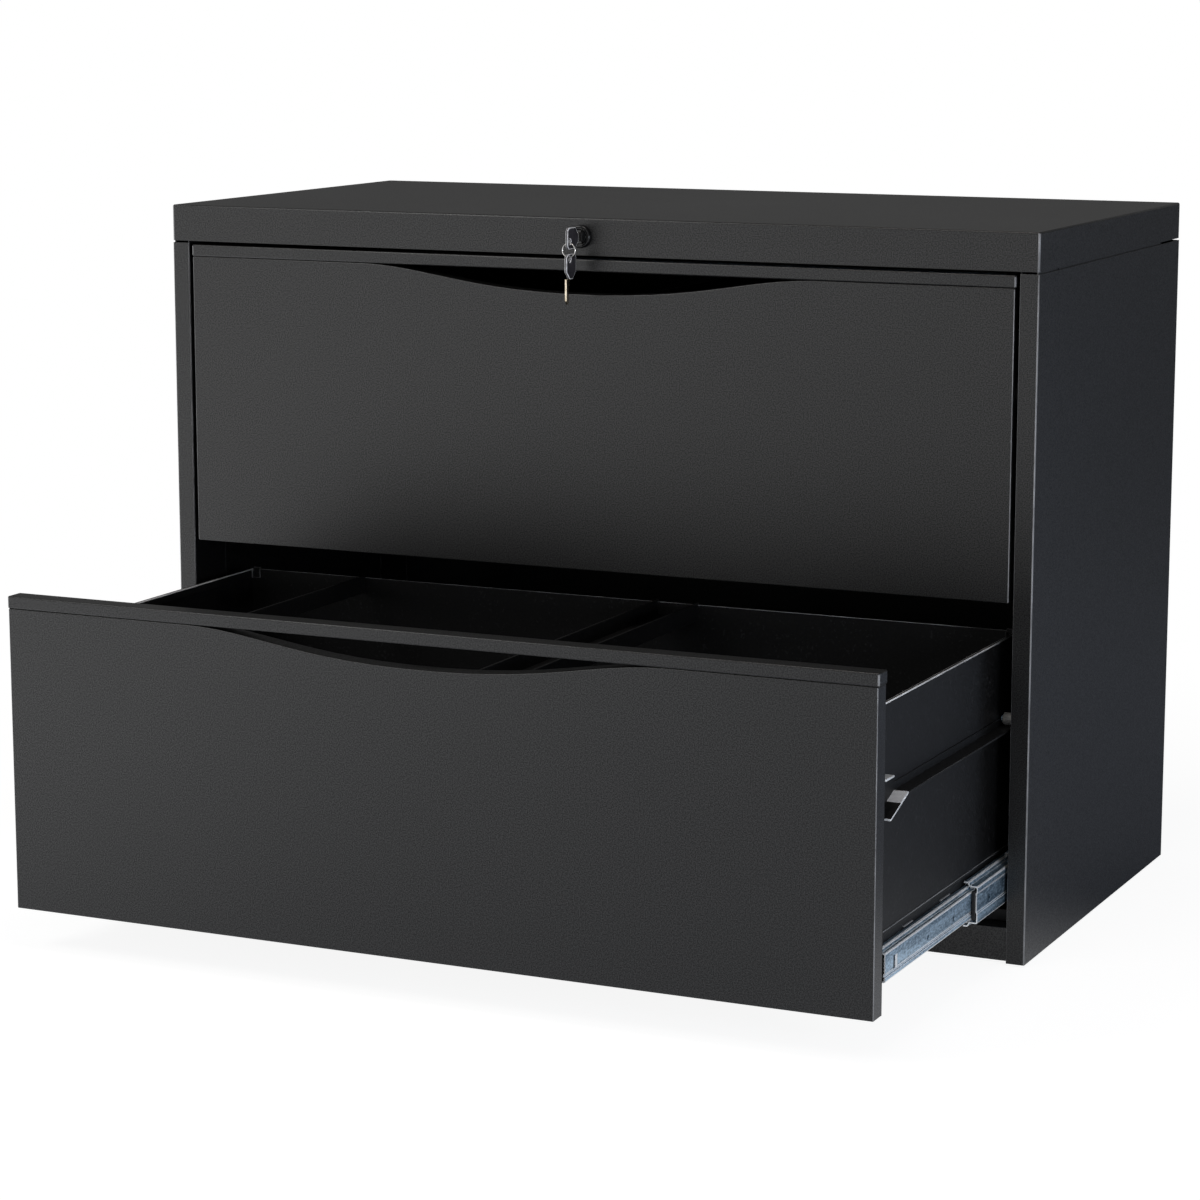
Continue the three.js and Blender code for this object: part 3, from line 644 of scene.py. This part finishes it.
def wallBead(name, side, wall, slideTop, body):     # pressed bead above the slide, its upper rounding painted light as a highlight
    rise, height, proud = sizes(beadLook, "rise", "height", "proud")
    front, back, soft = sizes(beadLook, "front", "back", "soft")
    wallLow, wallHigh = wall
    low = slideTop + rise
    bead = bmesh.new()
    block(bead, (wallHigh.x - trimSunk * mm, wallLow.y + front, low),
          (wallHigh.x + proud, wallHigh.y - back, low + height))
    roundOff(bead, bead.edges[:], soft, 3, 1, "top")
    addPiece(name, handed(bead, side), body, [finishes["inner_coat"], edgeHighlightPaint])


def wallHooks(name, side, wall, slideTop, body):     # hooks that hold the slide's upper edge, painted all over in the light edge tone as highlights
    rise, sheet, proud, soft = sizes(hookLook, "rise", "sheet", "proud", "soft")
    wallLow, wallHigh = wall
    low = slideTop + rise
    hooks = bmesh.new()
    for start, end in hookLook["runs"]:
        block(hooks, (wallHigh.x - trimSunk * mm, wallLow.y + start * mm, low),
              (wallHigh.x + proud, wallLow.y + end * mm, low + sheet))
    roundOff(hooks, hooks.edges[:], soft)
    addPiece(name, handed(hooks, side), body, [edgeHighlightPaint])


clipLook = {"inset": 4.2, "width": 8.2, "drop": 9, "rise": 2, "sheet": 1.2, "gap": 1, "lap": 1.4,
            "short": 0.2, "ear": 6, "earLap": 1.6, "earTop": 1, "soft": 0.35}


def cornerClips(drawer):     # folded clips over the back wall's top edge, their rounded edges painted light as highlights
    low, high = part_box(f"{drawer}_back_wall")
    inset, width, drop, rise, sheet, gap = sizes(clipLook, "inset", "width", "drop", "rise", "sheet", "gap")
    lap, short, ear, earLap, earTop, soft = sizes(clipLook, "lap", "short", "ear", "earLap", "earTop", "soft")
    bottom, top = high.z - drop, high.z + rise
    clips = bmesh.new()
    for side in (-1, 1):
        left, right = sorted((side * (high.x - inset), side * (high.x - inset - width)))
        block(clips, (left, low.y - gap - sheet, bottom), (right, low.y - gap, top))
        block(clips, (left, low.y - lap, top - sheet), (right, high.y - short, top))
        block(clips, (left, low.y - ear, bottom), (left + sheet, low.y - earLap, high.z - earTop))
    roundOff(clips, clips.edges[:], soft, 2, 1)
    addPiece(f"{drawer}BackClips", clips, f"{drawer}_drawer", [finishes["inner_coat"], edgeHighlightPaint])


for drawer in drawers:
    for hand, side in sides:
        wall = rightBox(f"{drawer}_{hand}_wall", side)
        slideTop = rightBox(f"{drawer}_{hand}_slide_inner", side)[1].z
        wallBead(f"{drawer}{hand.title()}WallBead", side, wall, slideTop, f"{drawer}_drawer")
        wallHooks(f"{drawer}{hand.title()}WallHooks", side, wall, slideTop, f"{drawer}_drawer")
    cornerClips(drawer)
print("drawer trim made")


# Glides under the base

glideLook = {"pad": 12, "edge": 1.2, "top": 3.6, "stem": 4, "stemEdge": 0.6, "nut": 7.2, "nutLow": 5.4,
             "nutHigh": 10, "nutSoft": 0.5}


def glidePiece(node):
    low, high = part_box(node)
    centre, height = Vector(((low.x + high.x) / 2, (low.y + high.y) / 2, low.z)), high.z - low.z
    pad, edge, top, stem, stemEdge = sizes(glideLook, "pad", "edge", "top", "stem", "stemEdge")
    radius, nutLow, nutHigh, soft = sizes(glideLook, "nut", "nutLow", "nutHigh", "nutSoft")
    foot = [(0, 0), (pad - edge, 0), (pad, edge), (pad, top - edge), (pad - edge, top)]
    bolt = [(stem, top), (stem, height - stemEdge), (stem - stemEdge, height), (0, height)]
    bm = lathe(foot + bolt, (0, 0, 1), centre)
    for face in bm.faces:
        face.smooth = face.calc_center_median().z > top or face.normal.z > -0.99
    nut = bmesh.new()
    spot = Matrix.Translation(centre + Vector((0, 0, (nutLow + nutHigh) / 2)))
    bmesh.ops.create_cone(nut, cap_ends=True, segments=6, radius1=radius, radius2=radius,
                          depth=nutHigh - nutLow, matrix=spot)
    roundOff(nut, nut.edges[:], soft)
    for face in nut.faces:
        face.material_index = 1
    joined(bm, nut)
    coats = [finishes[slotOf[node]], finishes["zinc_steel"]]
    addPiece(camel(node), bm, "cabinet", coats, [node])


for node in [node for node in frame["nodes"] if node.endswith("glide")]:
    glidePiece(node)
print("glides made")


# Interlock rollers

rollerLook = {"bore": 2.9, "chamfer": 0.9, "hub": 4.2, "hubEdge": 0.3, "dish": 0.8}


def rollerPiece(node):
    low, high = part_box(node)
    bore, chamfer, hub, hubEdge, dish = sizes(rollerLook, "bore", "chamfer", "hub", "hubEdge", "dish")
    radius, length = (high.z - low.z) / 2, high.x - low.x
    half = [(bore, dish / 2), (hub, dish / 2), (hub + hubEdge, 0), (radius - chamfer, 0), (radius, chamfer)]
    profile = half + [(out, length - run) for out, run in reversed(half)] + half[:1]
    bm = lathe(profile, (1, 0, 0), (low.x, (low.y + high.y) / 2, (low.z + high.z) / 2), 36)
    piece = addPiece(camel(node), bm, bodyOf(node), [finishes["nylon"]], [node])
    piece.data.set_sharp_from_angle(angle=roundAngle)


for drawer in drawers:
    rollerPiece(f"{drawer}_interlock_roller")
print("rollers made")


# Lock and keys

lockLook = {"bore": 6.8, "barrel": 9.5, "groove": 8.9, "grooveWide": 0.3, "grooveDeep": 0.35, "rim": 1.3,
            "plateGap": 0.02, "lip": ((0, 1.2), (0.5, 0.4), (1.1, 0)), "plugSoft": 0.3}


def lockBezel():
    low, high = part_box("lock_body")
    bore, barrel, groove, wide = sizes(lockLook, "bore", "barrel", "groove", "grooveWide")
    deep, rim, plateGap = sizes(lockLook, "grooveDeep", "rim", "plateGap")
    radius, front, plate = high.x, low.y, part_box("top_cover")[0].y - plateGap
    lip = [(bore + out * mm, front + back * mm) for out, back in lockLook["lip"]]
    ring = [(groove - wide, front), (groove, front + deep), (groove + wide, front)]
    rounded = [(radius - rim, front), (radius - 0.35 * rim, front + 0.3 * rim), (radius, front + rim)]
    behind = [(radius, plate), (barrel, plate), (barrel, high.y), (bore, high.y)]
    bm = lathe(lip + ring + rounded + behind + lip[:1], (0, 1, 0), (0, 0, (low.z + high.z) / 2), 48)
    piece = addPiece("lockBezel", bm, "cabinet", [finishes["black_gloss"]], ["lock_body"])
    piece.data.set_sharp_from_angle(angle=math.radians(40))


def lockFace():
    bm = nodeCopy("lock_plug")
    roundOff(bm, sharpEdges(bm, 0, anyWidth, 0.7), lockLook["plugSoft"] * mm)
    addPiece("lockPlug", bm, bodyOf("lock_plug"), [finishes["black_gloss"]], ["lock_plug"])


keyLook = {"rim": 1.7, "sunk": 0.5, "soft": 0.9, "bladeSoft": 0.25}
bowFinishes = [finishes["black_plastic"], plasticRim, plasticPanel]


def keyBow():     # moulded head with a rim painted bright as a highlight, round a sunk panel
    rim, sunk, soft = sizes(keyLook, "rim", "sunk", "soft")
    bm = nodeCopy("key_head")
    for turn in (-1, 1):
        cheek = [face for face in bm.faces if face.normal.x * turn > 0.99]
        bmesh.ops.inset_region(bm, faces=cheek, thickness=rim, depth=-sunk, use_even_offset=True,
                               use_boundary=True)
        for face in cheek:
            face.material_index = 2
    bm.normal_update()
    sharp = [edge for edge in bm.edges if edge.calc_face_angle(0) > 1.2 and edge.is_convex]
    roundOff(bm, sharp, soft, 3, 1)
    return bm


def keyShank():
    bm = nodeCopy("key_blade")
    roundOff(bm, sharpEdges(bm, 0, anyWidth, 1.2), keyLook["bladeSoft"] * mm)
    addPiece("keyBlade", bm, "key", [finishes["nickel"]], ["key_blade"])


ringLook = {"wire": 0.38, "loose": 0.3}


def keyRing():     # split ring of two coils
    low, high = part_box("key_ring")
    wire, loose = sizes(ringLook, "wire", "loose")
    radius = (high.x - low.x) / 2 - wire - loose
    bm = bmesh.new()
    for turn in (-1, 1):
        spot = Matrix.Translation((radius, turn * wire, 0))
        loop = bmesh.ops.create_circle(bm, cap_ends=False, segments=10, radius=wire, matrix=spot)["verts"]
        edges = list({edge for vert in loop for edge in vert.link_edges})
        bmesh.ops.spin(bm, geom=loop + edges, cent=(0, 0, 0), axis=(0, 1, 0), angle=2 * math.pi, steps=48,
                       use_merge=True)
    spunSmooth(bm)
    bmesh.ops.translate(bm, verts=bm.verts, vec=(low + high) / 2)
    addPiece("keyRing", bm, "key_ring", [finishes["nickel"]], ["key_ring"])


spareLook = {"eyeRadius": 2.5, "eyeInset": 5.0, "eyeDrop": 3.0, "hang": 1.3, "bitShift": -3.0, "bitLap": 0.4,
             "bitSheet": 2.0, "bitHalf": 4.0, "bitLength": 24, "bitSoft": 0.2,
             "tip": ((-4.0, 3.4), (-1.6, 0), (0.6, 1.4)),
             "cuts": ((2.0, 19.2), (0.4, 17.0), (1.2, 14.4), (-0.4, 12.0), (1.6, 9.6), (0.9, 7.4), (2.6, 5.0),
                      (2.2, 3.2), (4.0, 0))}


def keyBit(top):     # blade pointing down, cut along one edge
    sheet, soft = sizes(spareLook, "bitSheet", "bitSoft")
    tip = [(y, spareLook["bitLength"] - up) for y, up in spareLook["tip"]]
    edge = [(-spareLook["bitHalf"], 0), *tip, *spareLook["cuts"]]
    bm = bmesh.new()
    thickened(bm, [(-sheet / 2, y * mm, top - z * mm) for y, z in edge], (sheet, 0, 0))
    roundOff(bm, [edge for edge in bm.edges if edge.calc_face_angle(0) > 1.2], soft)
    return bm


def spareKey():     # hangs on the ring and keeps upright with it
    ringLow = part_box("key_ring")[0]
    headLow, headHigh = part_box("key_head")
    inset, drop, eyeRadius, hang = sizes(spareLook, "eyeInset", "eyeDrop", "eyeRadius", "hang")
    bitShift, bitLap = sizes(spareLook, "bitShift", "bitLap")
    eye = Vector((0, headLow.y + inset, (headLow.z + headHigh.z) / 2 - drop))
    hung = Vector((0, eye.y, ringLow.z + hang - eyeRadius))
    head = keyBow()
    bmesh.ops.rotate(head, verts=head.verts, cent=eye, matrix=Matrix.Rotation(-math.pi / 2, 3, "X"))
    bmesh.ops.translate(head, verts=head.verts, vec=hung - eye)
    addPiece("spareKeyHead", head, "key_ring", bowFinishes)
    bit = keyBit(inset - (headHigh.y - headLow.y) + bitLap)
    bmesh.ops.translate(bit, verts=bit.verts, vec=hung + Vector((0, bitShift, 0)))
    addPiece("spareKeyBlade", bit, "key_ring", [brassy])


lockBezel()
lockFace()
addPiece("keyHead", keyBow(), "key", bowFinishes, ["key_head"])
keyShank()
keyRing()
spareKey()
print("lock and keys made")


# Floor, light and camera

floorLook = {"size": 30, "bounce": (0.31, 0.34, 0.4, 1), "spill": (0.02, 1.62), "pool": (-0.2, 0.25),
             "side": (-1.75, 0.2), "falloff": 0.68, "behind": 0.19, "behindFrom": (0.6, 1.3),
             "behindTo": (-0.2, 0.6), "shadowed": (0.25, 0.25, 0.25, 1), "glow": 0.9, "fade": (0.7, 1.5)}
worldLook = {"fill": 0.17, "front": 0.64, "rear": 0.14, "towards": (-0.5, -0.85, 0.1), "turn": (-0.1, 0.7),
             "seen": 1.0}


def rayKind(bare, kind):
    return bare.node("ShaderNodeLightPath", {}, {}, f"Is {kind} Ray")


def seenRays(bare):     # 1 for what the camera sees, itself or through something
    return rayKind(bare, "Camera").larger(rayKind(bare, "Transmission"))


def glowing(place, level):
    return place.node("ShaderNodeEmission", {}, {"Strength": level})


def floorLight(place):     # what the floor throws onto the cabinet: a pool in front, brighter to the left
    pale = place.node("ShaderNodeBsdfDiffuse", {}, {"Color": floorLook["bounce"]})
    dim, bright = (glowing(place, level) for level in floorLook["spill"])
    placeX, placeY = (place.node("ShaderNodeSeparateXYZ", {}, {0: place}, axis) for axis in "XY")
    side = 1 - placeX.between(*floorLook["side"]) * floorLook["falloff"]
    pool = (1 - placeY.between(*floorLook["pool"])) * side
    behind = placeY.between(*floorLook["behindFrom"]) * (1 - placeX.between(*floorLook["behindTo"]))
    share = pool + behind * floorLook["behind"]
    spill = place.node("ShaderNodeMixShader", {}, {0: share, 1: dim, 2: bright})
    return place.node("ShaderNodeAddShader", {}, {0: pale, 1: spill})


def floorSeen(place):     # what the camera sees: white, with a soft shadow close to the cabinet
    soft = place.node("ShaderNodeBsdfDiffuse", {}, {"Color": floorLook["shadowed"]})
    near = place.node("ShaderNodeAddShader", {}, {0: soft, 1: glowing(place, floorLook["glow"])})
    away = place.node("ShaderNodeVectorMath", {"operation": "LENGTH"}, {0: place}, "Value")
    far = away.between(*floorLook["fade"])
    return place.node("ShaderNodeMixShader", {}, {0: far, 1: near, 2: glowing(place, worldLook["seen"])})


def makeFloor():
    bm = bmesh.new()
    bmesh.ops.create_grid(bm, x_segments=1, y_segments=1, size=floorLook["size"])
    mesh = bpy.data.meshes.new("floor")
    bm.to_mesh(mesh)
    bm.free()
    material, place = startFinish("paleFloor")
    shown = {0: seenRays(place), 1: floorLight(place), 2: floorSeen(place)}
    both = place.node("ShaderNodeMixShader", {}, shown)
    place.node("ShaderNodeOutputMaterial", {}, {"Surface": both})
    mesh.materials.append(material)
    floor = bpy.data.objects.new("floor", mesh)
    bpy.context.scene.collection.objects.link(floor)


def makeWorld():     # white to the camera, a dimmer room in reflections, and a low fill
    world = bpy.data.worlds.new("studio")
    world.use_nodes = True
    world.node_tree.nodes.clear()
    bare = Wire(world.node_tree)
    way = bare.node("ShaderNodeTexCoord", {}, {}, "Generated")
    compared = {0: way, 1: worldLook["towards"]}
    facing = bare.node("ShaderNodeVectorMath", {"operation": "DOT_PRODUCT"}, compared, "Value")
    room = worldLook["rear"] + facing.between(*worldLook["turn"]) * (worldLook["front"] - worldLook["rear"])
    glossy = rayKind(bare, "Glossy")
    level = glossy * room + (1 - glossy) * worldLook["fill"]
    level = level.larger(seenRays(bare) * worldLook["seen"])
    sky = bare.node("ShaderNodeBackground", {}, {"Color": (1, 1, 1, 1), "Strength": level})
    bare.node("ShaderNodeOutputWorld", {}, {"Surface": sky})
    bpy.context.scene.world = world


lamps = {
    "frontSoftbox": {"place": (-1.5, -1.7, 2.3), "aim": (-0.2, -0.2, 0.35), "size": (1.2, 1.2), "watts": 21,
                     "tint": (1, 0.985, 0.97)},
    "rightRear": {"place": (1.9, 0.9, 0.4), "aim": (0.45, -0.1, 0.2), "size": (1.1, 0.7), "watts": 3,
                  "tint": (0.66, 0.78, 1)},
    "rightFront": {"place": (1.75, -1.35, 0.52), "aim": (0.45, -0.15, 0.2), "size": (0.5, 0.5), "watts": 12,
                   "tint": (0.84, 0.9, 1)},
    "overhead": {"place": (0.3, -0.5, 2.6), "aim": (0, -0.05, 0.6), "size": (1.0, 0.6), "watts": 10,
                 "tint": (1, 0.93, 0.88)},
}


def makeLamp(name, lamp):
    light = bpy.data.lights.new(name, "AREA")
    light.shape, light.energy, light.color = "RECTANGLE", lamp["watts"], lamp["tint"]
    light.size, light.size_y = lamp["size"]
    holder = bpy.data.objects.new(name, light)
    holder.location = lamp["place"]
    ahead = Vector(lamp["aim"]) - Vector(lamp["place"])
    holder.rotation_euler = ahead.to_track_quat("-Z", "Y").to_euler()
    bpy.context.scene.collection.objects.link(holder)


photoView = {"place": (1.4223, -3.0687, 0.9153), "azimuth": 0.43628, "elevation": 0.17848, "lens": 104.16,
             "sensor": 36, "far": 100}


def makeCamera():
    lens = bpy.data.cameras.new("camera")
    lens.lens, lens.sensor_width, lens.clip_end = (photoView[key] for key in ("lens", "sensor", "far"))
    camera = bpy.data.objects.new("camera", lens)
    turn, tilt = photoView["azimuth"], photoView["elevation"]
    ahead = Vector((-math.sin(turn) * math.cos(tilt), math.cos(turn) * math.cos(tilt), -math.sin(tilt)))
    camera.location = photoView["place"]
    camera.rotation_euler = ahead.to_track_quat("-Z", "Y").to_euler()
    bpy.context.scene.collection.objects.link(camera)
    bpy.context.scene.camera = camera


for node, solid in frame["nodes"].items():     # solids that still show get their finish
    solid.data.materials.clear()
    solid.data.materials.append(finishes[slotOf[node]])
makeFloor()
makeWorld()
for name, lamp in lamps.items():
    makeLamp(name, lamp)
makeCamera()
bpy.context.scene.view_settings.view_transform = "Standard"
print("stage set")
